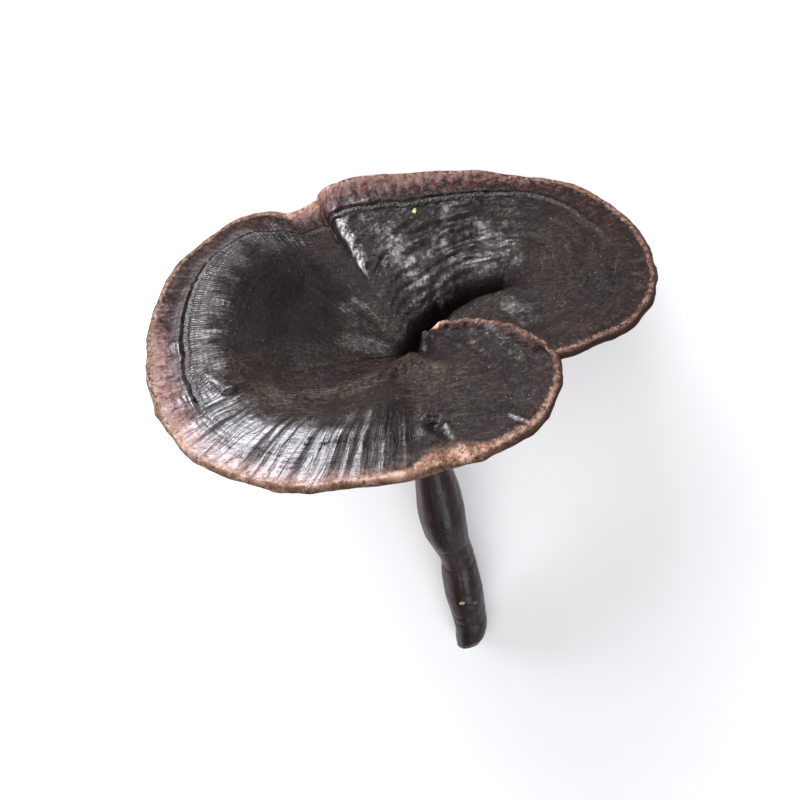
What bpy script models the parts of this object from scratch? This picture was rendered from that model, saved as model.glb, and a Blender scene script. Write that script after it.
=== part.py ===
"""A dried black reishi mushroom, lying down: a kidney-shaped cap whose front lobe turns over the end
of its back lobe, and a thin knotty stem cut off at its lower end.

Both pieces are shaped as they grew, in millimetres, with the stem below the cap along Z. The empty
that carries them then lays them down together.
"""

import math
from collections import namedtuple

import bmesh
import bpy
import numpy as np
from mathutils import Matrix, Vector

MM = 0.001
GAP = 0.3  # between the cap and the stem

# Lying down: the stem's turn about its own axis, its lean from upright, the turn on the floor, and
# the place of the growing mushroom's origin
ROLL_DEG = 11.982
LEAN_DEG = -66.343
TURN_DEG = 180.0
SEAT = (-0.010, -59.592, 54.299)

# The slot at the bottom of the hollow, where all growth lines start: its line at the height of its
# lips, and the narrow well that sinks below that line
SLOT = [
    (1.0, -4.5, -14.5),
    (5.0, 1.0, -14.0),
    (12.5, 5.5, -12.5),
    (22.5, 7.5, -11.0),
    (32.0, 6.0, -8.0),
]
SLOT_HALF_WIDTH = 0.8
WELL_DEPTH = 5.5
WELL_REACH = 2.6
WELL_FLOOR_DROP = 0.6
WELL_FLOOR_SHARE = 0.35  # half width of the well's floor, as a share of the slot's

# Where the cap runs into the stem
NECK_RADIUS = 8.2
NECK_Z = -34.0

# The rim's thickness follows the width of the reddish band
RIM_BASE = 1.8
RIM_PER_BAND = 0.4
RIM_MOST = 3.4
RIM_BULGE = 0.45  # how far the rim swells out, as a share of its thickness
BULGING_BANDS = (1.0, 3.0)  # widths of the band over which the swelling comes in

# The underside follows the top inwards, growing thicker, but stays clear of the slot, and then turns
# down to the neck
UNDER_REACH = 0.85
UNDER_STOP = 12.0
UNDER_STOP_SHARE = 0.45
THICKENING = 1.6
TURN_DOWN = 0.2

# Growth ledges: they come in over these shares of the dark crust, and on growth lines this long
LEDGES = 5.5
LEDGE_HEIGHT = 0.5
LEDGES_COME_IN = (0.35, 0.6)
LEDGED_LENGTHS = (15.0, 50.0)

# The furrow between the dark crust and the reddish band: its lowest place and its end, as shares of
# the band, and the widths of the band over which it comes in
FURROW_DEPTH = 0.9
FURROW_LOWEST = 0.13
FURROW_END = 0.5
FURROWED_BANDS = (3.5, 8.0)

# Between these stations the crust runs into the band with no furrow
UNFURROWED_STATIONS = (16.0, 23.5)
STRETCH_FADE = 1.0  # how many stations beside a stretch its ribs, or its lack of a furrow, fade over

# The shoulder along the left and front left: its height, the stations between which it is highest,
# and how far in from the lip it rises and sinks again
SHOULDER_HEIGHT = 3.4
SHOULDER_STATIONS = (19.0, 28.0)
SHOULDER_FADE = 4.0
SHOULDER_RISE = (0.0, 20.0)
SHOULDER_SINK = (22.0, 44.0)

# Radial ribs on the front left of the cap, between two stations, fading out inwards
RIB_HEIGHT = 0.22
RIB_STATIONS = (17.0, 24.0)
RIBS_PER_STATION = 1.5
RIB_FADE = (15.6, 26.0)

# Radial creases that run in from the edge: station, half width in stations, how far in, how deep;
# they keep their depth over the first part of their run
CREASES = [
    (24.33, 0.3, 18.0, 1.4),
    (15.0, 0.45, 22.0, 1.3),
    (11.0, 0.4, 15.0, 0.8),
]
CREASE_DEEP_SHARE = 0.3

# Rings across the dark crust, the band and the underside, as shares of their widths
CRUST_RINGS = (0.0, 0.04, 0.09, 0.16, 0.25, 0.35, 0.45, 0.55, 0.64, 0.73, 0.82, 0.91, 1.0)
BAND_RINGS = (FURROW_LOWEST, FURROW_END, 1.0)
RIM_TURNS = (45.0, 90.0, 135.0, 180.0)
UNDER_RINGS = (0.1, 0.24, 0.38, 0.52, 0.65, 0.77, 0.89, 1.0)

# Places around the edge, clockwise as seen from above, starting at the tip of the front lobe.
# columns: how many columns of faces lie between this place and the next
# slot: where its growth line leaves the slot, 0 to 1
# bend: the point that the growth line bends towards
# edge: the edge of the cap
# crest: how far from the slot its surface turns level, and how high it is there
# rise: how steeply it leaves the slot
# band: width of the reddish band along the edge
# neck: the angle in degrees at which its underside meets the stem
# under: how late its underside dips towards the stem
Station = namedtuple("Station", "columns slot bend edge crest rise band neck under")
EDGE_PLACES = [
    (2, 0.10, (5.8, -6.7), (7.0, -6.3, -7.2), (3.0, -8.5), 1.5, 1.2, -28, 0.8),
    (2, 0.09, (6.1, -8.6), (9.8, -5.6, -3.6), (5.5, -5.0), 1.8, 2.0, -34, 0.85),
    (2, 0.07, (7.4, -13.0), (16.0, -8.0, -0.8), (9.0, -3.0), 2.0, 3.0, -39, 0.9),
    (2, 0.05, (9.0, -18.0), (24.0, -13.0, 1.5), (15.0, -1.5), 2.2, 4.0, -44, 0.95),
    (2, 0.04, (10.8, -23.0), (31.0, -19.0, 3.5), (21.0, -0.5), 2.4, 4.5, -48, 1.0),
    (2, 0.02, (12.2, -28.0), (37.0, -26.5, 4.5), (26.0, 0.0), 2.4, 5.0, -52, 1.0),
    (2, 0.0, (13.0, -31.5), (41.0, -33.0, 4.5), (30.0, 0.5), 2.4, 5.0, -55, 1.0),
    (2, 0.0, (13.3, -33.0), (43.0, -38.5, 4.0), (32.0, 0.5), 2.4, 5.0, -59, 1.0),
    (2, 0.0, (13.0, -34.5), (42.5, -44.5, 3.5), (34.0, 0.3), 2.4, 5.0, -63, 1.0),
    (2, 0.0, (12.0, -35.2), (40.0, -50.5, 2.5), (33.0, 0.0), 2.4, 5.0, -67, 1.0),
    (2, 0.0, (10.3, -35.5), (35.5, -56.0, 1.0), (30.0, -0.5), 2.4, 5.0, -71, 1.0),
    (2, 0.0, (8.3, -34.5), (30.0, -59.5, -0.5), (27.0, -1.0), 2.4, 5.0, -75, 1.0),
    (2, 0.0, (6.3, -33.5), (24.0, -61.0, -2.0), (24.0, -1.5), 2.4, 5.0, -80, 1.0),
    (2, 0.0, (4.3, -32.5), (17.5, -62.0, -3.0), (21.0, -2.0), 2.4, 5.0, -85, 1.0),
    (2, 0.0, (2.3, -31.5), (11.0, -62.5, -4.0), (19.0, -2.5), 2.4, 5.5, -90, 1.0),
    (2, 0.0, (0.4, -30.5), (4.5, -60.5, -5.0), (17.0, -3.0), 2.4, 6.0, -95, 1.0),
    (2, 0.0, (-1.6, -30.0), (-2.0, -61.5, -5.0), (16.0, -3.0), 2.4, 6.0, -99, 1.0),
    (2, 0.0, (-4.0, -31.0), (-9.0, -62.0, -5.0), (16.0, -3.5), 2.4, 6.0, -103, 1.0),
    (3, 0.0, (-8.0, -31.0), (-17.0, -61.0, -5.0), (17.0, -4.0), 2.4, 6.0, -109, 1.0),
    (3, 0.0, (-14.0, -31.0), (-28.5, -58.5, -5.0), (19.0, -4.0), 2.2, 6.0, -117, 1.0),
    (3, 0.0, (-20.0, -29.0), (-41.5, -55.5, -5.0), (23.0, -4.5), 2.0, 7.0, -127, 1.0),
    (3, 0.0, (-26.0, -26.0), (-52.5, -50.5, -4.0), (29.0, -5.0), 1.8, 8.0, -136, 1.0),
    (3, 0.0, (-31.0, -23.0), (-62.5, -43.5, -3.0), (36.0, -5.0), 1.6, 9.0, -144, 1.0),
    (3, 0.0, (-36.0, -18.0), (-71.5, -34.0, -2.0), (46.0, -4.5), 1.5, 10.0, -152, 1.0),
    (3, 0.0, (-38.0, -11.0), (-77.0, -22.5, -1.0), (55.0, -3.5), 1.4, 10.5, -160, 1.0),
    (3, 0.0, (-39.0, -6.0), (-80.0, -11.0, 0.0), (63.0, -2.0), 1.4, 11.0, -168, 1.0),
    (3, 0.0, (-39.0, 1.0), (-80.5, 3.0, 1.0), (68.0, -1.0), 1.4, 11.0, -177, 1.0),
    (3, 0.0, (-38.0, 8.0), (-78.5, 18.0, 1.0), (72.0, 0.0), 1.4, 11.0, -187, 1.0),
    (3, 0.0, (-36.0, 16.0), (-74.0, 34.0, 0.0), (73.0, 0.0), 1.4, 11.0, -198, 1.0),
    (3, 0.0, (-33.0, 21.0), (-66.0, 48.5, -1.0), (73.0, -0.5), 1.4, 11.0, -210, 1.0),
    (3, 0.0, (-30.0, 24.0), (-55.0, 59.5, -3.0), (70.0, -2.0), 1.4, 11.0, -222, 1.0),
    (2, 0.0, (-26.0, 24.0), (-42.5, 66.5, -4.0), (67.0, -3.2), 1.4, 11.0, -232, 1.0),
    (2, 0.01, (-21.5, 25.0), (-33.0, 65.0, -3.0), (65.0, -4.2), 1.4, 10.0, -240, 1.0),
    (2, 0.02, (-16.5, 28.0), (-26.0, 62.2, -3.5), (62.0, -5.2), 1.6, 9.5, -245, 1.0),
    (2, 0.03, (-11.7, 33.5), (-16.8, 61.6, 0.0), (59.5, -3.8), 1.8, 9.0, -251, 1.0),
    (2, 0.05, (-9.6, 33.5), (-14.0, 60.0, 4.2), (56.0, 1.5), 1.08, 9.0, -254, 1.0),
    (3, 0.08, (-6.2, 32.0), (-9.6, 59.0, 7.0), (54.0, 4.8), 1.02, 9.5, -258, 1.0),
    (3, 0.18, (-1.0, 28.0), (0.0, 58.0, 8.0), (52.0, 6.0), 1.18, 10.0, -266, 1.0),
    (3, 0.35, (9.0, 27.0), (12.5, 55.0, 7.0), (46.0, 5.5), 1.4, 10.0, -275, 1.0),
    (3, 0.5, (20.0, 29.0), (25.5, 53.5, 5.0), (42.0, 4.0), 1.5, 10.0, -284, 1.0),
    (2, 0.68, (29.0, 29.0), (38.0, 52.0, 2.0), (39.0, 2.0), 1.6, 10.0, -292, 1.0),
    (2, 0.85, (36.0, 27.0), (47.5, 49.0, -1.0), (36.0, 0.5), 1.7, 9.0, -299, 1.0),
    (2, 0.95, (42.0, 25.0), (58.0, 45.5, -3.0), (32.0, 0.0), 1.8, 9.0, -306, 0.95),
    (2, 1.0, (48.0, 22.0), (67.5, 37.0, -3.0), (29.0, 0.0), 1.9, 9.0, -314, 0.9),
    (3, 1.0, (53.0, 16.0), (75.0, 24.0, -2.0), (27.0, 0.0), 2.0, 9.0, -322, 0.85),
    (3, 1.0, (55.0, 9.0), (79.5, 9.0, -1.0), (25.0, 0.0), 2.0, 8.0, -330, 0.85),
    (2, 1.0, (55.0, 2.0), (80.5, -5.0, 0.0), (24.0, 0.0), 2.0, 7.0, -338, 0.85),
    (2, 1.0, (53.0, -3.0), (79.0, -15.5, 0.0), (22.0, -0.5), 2.0, 7.0, -343, 0.85),
    (2, 0.97, (50.0, -6.0), (73.5, -25.0, 0.0), (20.0, -1.0), 2.2, 7.0, -348, 0.85),
    (2, 0.92, (46.0, -9.0), (65.5, -31.0, 0.0), (17.0, -1.5), 2.4, 7.0, -353, 0.85),
    (2, 0.86, (41.0, -10.0), (56.5, -33.0, 0.0), (14.0, -2.5), 2.6, 6.0, -357, 0.85),
    (2, 0.78, (36.0, -10.0), (46.0, -34.0, -1.0), (12.0, -3.5), 2.8, 5.0, -361, 0.85),
    (2, 0.68, (30.0, -8.0), (37.0, -30.5, -3.0), (11.0, -4.5), 3.0, 4.0, -365, 0.8),
    (3, 0.56, (24.0, -5.0), (29.0, -23.5, -6.0), (9.0, -5.5), 3.0, 3.0, -369, 0.75),
    (2, 0.44, (19.0, -3.0), (22.0, -16.5, -9.0), (7.5, -7.5), 2.6, 2.5, -373, 0.7),
    (2, 0.36, (14.5, -1.5), (16.5, -10.5, -12.0), (6.0, -10.5), 2.0, 2.0, -376, 0.7),
    (2, 0.27, (11.5, -1.0), (12.8, -6.0, -14.0), (4.0, -13.0), 2.0, 1.2, -377, 0.7),
    (2, 0.2, (9.5, -2.0), (10.3, -4.7, -13.8), (2.0, -13.5), 1.5, 1.0, -380, 0.7),
    (2, 0.15, (7.4, -2.9), (8.4, -4.8, -11.5), (1.1, -12.0), 1.5, 1.0, -383, 0.7),
]
STATIONS = [Station(*place) for place in EDGE_PLACES]

# The stem from its top down: height, place of its centre, radius
STEM = [
    (NECK_Z - GAP, 0.0, 0.0, NECK_RADIUS),
    (-40.0, -0.3, -0.8, 7.2),
    (-50.0, -1.0, -2.0, 6.3),
    (-60.0, -1.7, -3.1, 5.9),
    (-70.0, -2.2, -4.2, 6.1),
    (-77.0, -2.5, -4.9, 6.9),
    (-84.0, -2.8, -5.6, 7.6),
    (-92.0, -3.2, -6.4, 7.8),
    (-99.0, -3.3, -7.2, 7.2),
    (-105.0, -2.9, -7.8, 6.2),
    (-112.0, -2.0, -8.5, 5.7),
    (-120.0, -2.4, -9.3, 6.4),
    (-130.0, -2.9, -10.4, 6.6),
    (-140.0, -3.2, -11.4, 6.1),
    (-147.0, -3.7, -12.2, 5.7),
    (-151.5, -4.8, -12.6, 5.2),
    (-155.5, -5.9, -13.0, 4.2),
]
STEM_SIDES = 18
STEM_STEP = 6.0
STEM_CUT_SLOPE = 0.5  # the lower end is cut aslant, its back further down than its front


def smooth_step(low, high, value):
    share = np.clip((value - low) / (high - low), 0.0, 1.0)
    return share * share * (3.0 - 2.0 * share)


def round_the_edge(values, gaps, counts, limited=True):
    """Values at every column, from those at the stations, by cubic pieces that close on themselves.

    Where limited is set, no piece goes past the two values that it joins.
    """
    values = np.asarray(values, float)
    spread = (-1,) + (1,) * (values.ndim - 1)
    gap_after = np.asarray(gaps, float).reshape(spread)
    gap_before = np.roll(gap_after, 1, axis=0)
    slope_before = (values - np.roll(values, 1, axis=0)) / gap_before
    slope_after = (np.roll(values, -1, axis=0) - values) / gap_after
    slopes = (slope_before * gap_after + slope_after * gap_before) / (gap_before + gap_after)
    if limited:
        steepest = 2.5 * np.minimum(np.abs(slope_before), np.abs(slope_after))
        slopes = np.clip(slopes, -steepest, steepest) * (slope_before * slope_after > 0)
    pieces = []
    for index, count in enumerate(counts):
        following = (index + 1) % len(counts)
        u = (np.arange(count) / count).reshape(spread)
        pieces.append(
            values[index] * (1 + 2 * u) * (1 - u) ** 2
            + values[following] * u * u * (3 - 2 * u)
            + gap_after[index] * slopes[index] * u * (1 - u) ** 2
            - gap_after[index] * slopes[following] * u * u * (1 - u)
        )
    return np.concatenate(pieces)


def slot_points(shares):
    """Points of the slot's line, at shares of its length."""
    line = np.array(SLOT)
    steps = np.linalg.norm(np.diff(line, axis=0), axis=1)
    along = np.concatenate([[0.0], np.cumsum(steps)]) / steps.sum()
    return np.stack([np.interp(shares, along, line[:, axis]) for axis in range(3)], axis=-1)


def bent(start, bend, end, share):
    """Points of the quadratic curve from start to end that bends towards bend."""
    share = np.asarray(share)[..., None]
    return start * (1 - share) ** 2 + 2 * bend * share * (1 - share) + end * share**2


class Columns:
    """What each column of the cap's surface needs: its growth line and its heights."""

    def __init__(self, fineness):
        counts = [station.columns * fineness for station in STATIONS]
        edges = np.array([station.edge for station in STATIONS])
        gaps = np.linalg.norm(np.roll(edges, -1, axis=0)[:, :2] - edges[:, :2], axis=1)
        self.edge = round_the_edge(edges[:, :2], gaps, counts, limited=False)
        self.edge_z = round_the_edge(edges[:, 2], gaps, counts)
        self.bend = round_the_edge([station.bend for station in STATIONS], gaps, counts, limited=False)
        self.slot = slot_points(round_the_edge([station.slot for station in STATIONS], gaps, counts))
        crests = round_the_edge([station.crest for station in STATIONS], gaps, counts)
        self.crest_reach, self.crest_z = crests[:, 0], crests[:, 1]
        self.rise = round_the_edge([station.rise for station in STATIONS], gaps, counts)
        self.band = round_the_edge([station.band for station in STATIONS], gaps, counts)
        self.under = round_the_edge([station.under for station in STATIONS], gaps, counts)
        self.station = np.concatenate([i + np.arange(n) / n for i, n in enumerate(counts)])
        turns = [station.neck for station in STATIONS] + [STATIONS[0].neck - 360.0]
        self.neck_turn = np.radians(np.interp(self.station, np.arange(len(turns)), turns))
        ahead = np.roll(self.edge, -1, axis=0) - np.roll(self.edge, 1, axis=0)
        ahead /= np.linalg.norm(ahead, axis=1)[:, None]
        self.out = np.stack([-ahead[:, 1], ahead[:, 0]], axis=1)
        self.thick = np.minimum(RIM_BASE + RIM_PER_BAND * self.band, RIM_MOST)
        self.bulge = RIM_BULGE * self.thick * smooth_step(*BULGING_BANDS, self.band)
        self.lip = self.edge - self.out * self.bulge[:, None]
        toward = self.bend - self.slot[:, :2]
        self.toward = toward / np.linalg.norm(toward, axis=1)[:, None]
        self.start = self.slot[:, :2] + self.toward * SLOT_HALF_WIDTH
        self.measure()

    def measure(self):
        """The run along each growth line, from the slot to the lip of the rim."""
        self.steps = np.linspace(0.0, 1.0, 41)
        points = bent(self.start[:, None], self.bend[:, None], self.lip[:, None], self.steps[None])
        runs = np.linalg.norm(np.diff(points, axis=1), axis=2)
        self.run = np.concatenate([np.zeros((len(runs), 1)), np.cumsum(runs, axis=1)], axis=1)
        self.length = self.run[:, -1]
        self.crust = self.length - self.band

    def plan(self, reach):
        """Where each growth line is, seen from above, once it has run this far."""
        share = [np.interp(far, run, self.steps) for far, run in zip(reach, self.run)]
        return bent(self.start, self.bend, self.lip, share)

    def height(self, reach):
        """The height of the broad form at this run along each growth line."""
        slot_z = self.slot[:, 2]
        climb = np.clip(reach / self.crest_reach, 0.0, 1.0)
        beyond = smooth_step(self.crest_reach, self.length, reach)
        z = slot_z + (self.crest_z - slot_z) * (1 - (1 - climb) ** self.rise)
        return z + (self.edge_z - self.crest_z) * beyond + self.creases(reach) + self.shoulder(reach)

    def top_z(self, reach):
        """The height of the top surface, with its well, ledges, furrow and ribs."""
        well = WELL_DEPTH * np.exp(-((reach / WELL_REACH) ** 2))
        return self.height(reach) - well + self.ledges(reach) + self.furrow(reach) + self.ribs(reach)

    def between(self, stations, fade):
        """One between two stations, fading out over a number of stations beside them."""
        first, last = stations
        come_in = smooth_step(first - fade, first, self.station)
        return come_in * (1 - smooth_step(last, last + fade, self.station))

    def shoulder(self, reach):
        inset = self.length - reach
        across = smooth_step(*SHOULDER_RISE, inset) * (1 - smooth_step(*SHOULDER_SINK, inset))
        return SHOULDER_HEIGHT * across * self.between(SHOULDER_STATIONS, SHOULDER_FADE)

    def ledges(self, reach):
        share = np.minimum(reach / self.crust, 1.0)
        outer_part = smooth_step(*LEDGES_COME_IN, share) * smooth_step(*LEDGED_LENGTHS, self.length)
        inside = 1 - smooth_step(0.0, 1.0, (reach - self.crust) / self.band)
        return -LEDGE_HEIGHT * np.cos(2 * math.pi * LEDGES * share) * outer_part * inside

    def furrow(self, reach):
        across = np.clip((reach - self.crust) / self.band, 0.0, 1.0)
        shape = smooth_step(0.0, FURROW_LOWEST, across) - smooth_step(FURROW_LOWEST, FURROW_END, across)
        unfurrowed = self.between(UNFURROWED_STATIONS, STRETCH_FADE)
        return -FURROW_DEPTH * shape * smooth_step(*FURROWED_BANDS, self.band) * (1 - unfurrowed)

    def ribs(self, reach):
        outer_part = 1 - smooth_step(*RIB_FADE, self.length - reach)
        waves = np.cos(2 * math.pi * RIBS_PER_STATION * self.station)
        return RIB_HEIGHT * waves * outer_part * self.between(RIB_STATIONS, STRETCH_FADE)

    def creases(self, reach):
        inset = self.length - reach
        z = np.zeros_like(inset)
        for station, half_width, how_far, depth in CREASES:
            beside = np.exp(-(((self.station - station) / half_width) ** 2))
            z -= depth * beside * (1 - smooth_step(CREASE_DEEP_SHARE * how_far, how_far, inset))
        return z


def cap_rings(fineness=1):
    """Rings of points from the slot over the top, round the rim and under it to the neck."""
    columns = Columns(fineness)

    def ring(plan, z):
        return np.concatenate([plan, np.asarray(z)[:, None]], axis=1)

    slot = columns.slot[:, :2]
    floor_z = columns.top_z(np.zeros(len(slot))) - WELL_FLOOR_DROP
    rings = [ring(slot + columns.toward * WELL_FLOOR_SHARE * SLOT_HALF_WIDTH, floor_z)]
    reaches = [share * columns.crust for share in CRUST_RINGS]
    reaches += [columns.crust + share * columns.band for share in BAND_RINGS]
    rings += [ring(columns.plan(reach), columns.top_z(reach)) for reach in reaches]
    top_z = rings[-1][:, 2]
    for turn in np.radians(RIM_TURNS):
        plan = columns.lip + columns.out * (columns.bulge * math.sin(turn))[:, None]
        rings.append(ring(plan, top_z - columns.thick * (1 - math.cos(turn)) / 2))
    turn = columns.neck_turn
    neck = NECK_RADIUS * np.stack([np.cos(turn), np.sin(turn)], axis=1)
    stop = np.minimum(UNDER_STOP, UNDER_STOP_SHARE * columns.length)
    inward = UNDER_REACH * (columns.length - stop)
    for share in UNDER_RINGS:
        reach = columns.length - inward * share
        low_z = columns.height(reach) - columns.thick * (1 + THICKENING * share)
        to_neck = smooth_step(TURN_DOWN, 1.0, share) ** columns.under
        plan = columns.plan(reach) * (1 - to_neck)[:, None] + neck * to_neck[:, None]
        rings.append(ring(plan, low_z * (1 - to_neck) + NECK_Z * to_neck))
    return rings


def stem_rings():
    """Level rings down the stem, through smooth curves in each of its measures."""
    heights, *measures = np.array(STEM).T
    down = -heights
    wanted = np.concatenate([np.arange(down[0], down[-3], STEM_STEP), down[-3:]])
    turns = np.linspace(0.0, -2 * math.pi, STEM_SIDES, endpoint=False)
    rings = []
    for depth in wanted:
        x, y, radius = [soft_value(down, measure, depth) for measure in measures]
        across, behind = radius * np.cos(turns), radius * np.sin(turns)
        slope = STEM_CUT_SLOPE if depth == wanted[-1] else 0.0
        rings.append(np.stack([x + across, y + behind, -depth - slope * behind], axis=1))
    return rings


def soft_value(places, values, wanted):
    """The value at a place, on a cubic curve through the given ones."""
    index = int(np.clip(np.searchsorted(places, wanted) - 1, 0, len(places) - 2))
    slopes = np.gradient(values, places)
    gap = places[index + 1] - places[index]
    u = (wanted - places[index]) / gap
    return (
        values[index] * (1 + 2 * u) * (1 - u) ** 2
        + values[index + 1] * u * u * (3 - 2 * u)
        + gap * slopes[index] * u * (1 - u) ** 2
        - gap * slopes[index + 1] * u * u * (1 - u)
    )


def solid_from_rings(name, rings, material):
    """A closed solid: each ring of points is joined to the next, and the first and last are filled."""
    shape = bmesh.new()
    made = [[shape.verts.new(Vector(point) * MM) for point in ring] for ring in rings]
    for upper, lower in zip(made, made[1:]):
        for index in range(len(upper)):
            after = (index + 1) % len(upper)
            shape.faces.new((upper[index], upper[after], lower[after], lower[index]))
    shape.faces.new(reversed(made[0]))
    shape.faces.new(made[-1])
    bmesh.ops.recalc_face_normals(shape, faces=shape.faces)
    bmesh.ops.triangulate(shape, faces=shape.faces)
    mesh = bpy.data.meshes.new(name)
    shape.to_mesh(mesh)
    shape.free()
    mesh.shade_smooth()
    mesh.materials.append(material)
    solid = bpy.data.objects.new(name, mesh)
    bpy.context.collection.objects.link(solid)
    return solid


def finish(name, colour, roughness):
    """A plain material of one colour."""
    material = bpy.data.materials.new(name)
    material.use_nodes = True
    surface = material.node_tree.nodes["Principled BSDF"]
    surface.inputs["Base Color"].default_value = (*colour, 1.0)
    surface.inputs["Roughness"].default_value = roughness
    surface.inputs["Metallic"].default_value = 0.0
    return material


for leftover in list(bpy.data.objects):
    bpy.data.objects.remove(leftover, do_unlink=True)

lying = bpy.data.objects.new("lying", None)
bpy.context.collection.objects.link(lying)
lying.matrix_world = (
    Matrix.Translation(Vector(SEAT) * MM)
    @ Matrix.Rotation(math.radians(TURN_DEG), 4, "Z")
    @ Matrix.Rotation(math.radians(LEAN_DEG), 4, "X")
    @ Matrix.Rotation(math.radians(ROLL_DEG), 4, "Z")
)

crust = finish("cap", (0.020, 0.014, 0.012), 0.45)
bark = finish("stem", (0.022, 0.016, 0.015), 0.42)
cap = solid_from_rings("cap", cap_rings(), crust)
stem = solid_from_rings("stem", stem_rings(), bark)
for piece in (cap, stem):
    piece.parent = lying
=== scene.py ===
"""The looks of a dried black reishi mushroom that lies on a pale floor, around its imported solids."""

import math
from collections import namedtuple

import bpy
import numpy as np
from mathutils import Matrix, Vector, noise


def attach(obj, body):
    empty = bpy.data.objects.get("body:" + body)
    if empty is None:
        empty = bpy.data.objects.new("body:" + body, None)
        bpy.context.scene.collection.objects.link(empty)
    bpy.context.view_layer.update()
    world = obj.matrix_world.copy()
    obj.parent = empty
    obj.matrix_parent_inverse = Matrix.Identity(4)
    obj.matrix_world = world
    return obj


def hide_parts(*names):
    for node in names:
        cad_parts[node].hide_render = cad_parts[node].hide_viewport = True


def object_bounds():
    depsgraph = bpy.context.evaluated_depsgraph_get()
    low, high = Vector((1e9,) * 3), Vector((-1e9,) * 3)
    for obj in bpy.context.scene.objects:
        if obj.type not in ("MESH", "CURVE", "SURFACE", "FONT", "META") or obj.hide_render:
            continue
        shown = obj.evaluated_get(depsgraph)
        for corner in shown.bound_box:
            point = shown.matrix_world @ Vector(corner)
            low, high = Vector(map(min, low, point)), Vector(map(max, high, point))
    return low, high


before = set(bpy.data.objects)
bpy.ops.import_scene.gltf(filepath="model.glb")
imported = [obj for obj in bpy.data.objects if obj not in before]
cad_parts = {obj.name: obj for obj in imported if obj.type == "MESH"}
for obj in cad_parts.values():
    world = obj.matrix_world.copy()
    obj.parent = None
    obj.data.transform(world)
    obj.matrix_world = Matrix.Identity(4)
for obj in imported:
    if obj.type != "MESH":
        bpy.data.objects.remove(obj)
cad_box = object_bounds()


# The cap is one kidney-shaped piece of dried woody tissue under a thin dark crust. It grew outwards
# from the stem, ring by ring, and its front lobe turned over the end of its back lobe. It is shaped
# here as it grew, in millimetres with the stem below it along Z, and then laid down like the solids.

MM = 0.001
ROLL_DEG = 11.982
LEAN_DEG = -66.343
TURN_DEG = 180.0
SEAT = (-0.010, -59.592, 54.299)
lying = (
    Matrix.Translation(Vector(SEAT) * MM)
    @ Matrix.Rotation(math.radians(TURN_DEG), 4, "Z")
    @ Matrix.Rotation(math.radians(LEAN_DEG), 4, "X")
    @ Matrix.Rotation(math.radians(ROLL_DEG), 4, "Z")
)

# The slot at the bottom of the hollow, where all growth lines start, and the well that sinks below it
SLOT = [
    (1, -4.5, -14.5),
    (5, 1, -14),
    (12.5, 5.5, -12.5),
    (22.5, 7.5, -11),
    (32, 6, -8),
]
SLOT_HALF_WIDTH = 0.8
WELL_DEPTH = 5.5
WELL_REACH = 2.6
WELL_FLOOR_DROP = 0.6
WELL_FLOOR_SHARE = 0.35

# Where the cap runs into the stem
NECK_RADIUS = 8.2
NECK_Z = -34.0

# The rim's thickness follows the width of the reddish band
RIM_BASE = 1.8
RIM_PER_BAND = 0.4
RIM_MOST = 3.4
RIM_BULGE = 0.45
BULGING_BANDS = (1.0, 3.0)
RIM_KNOBS = 0.45
RIM_FINE_KNOBS = 0.22

# The underside follows the top inwards, growing thicker, and then turns down to the neck
UNDER_REACH = 0.85
UNDER_STOP = 12.0
UNDER_STOP_SHARE = 0.45
THICKENING = 1.6
TURN_DOWN = 0.2

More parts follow.
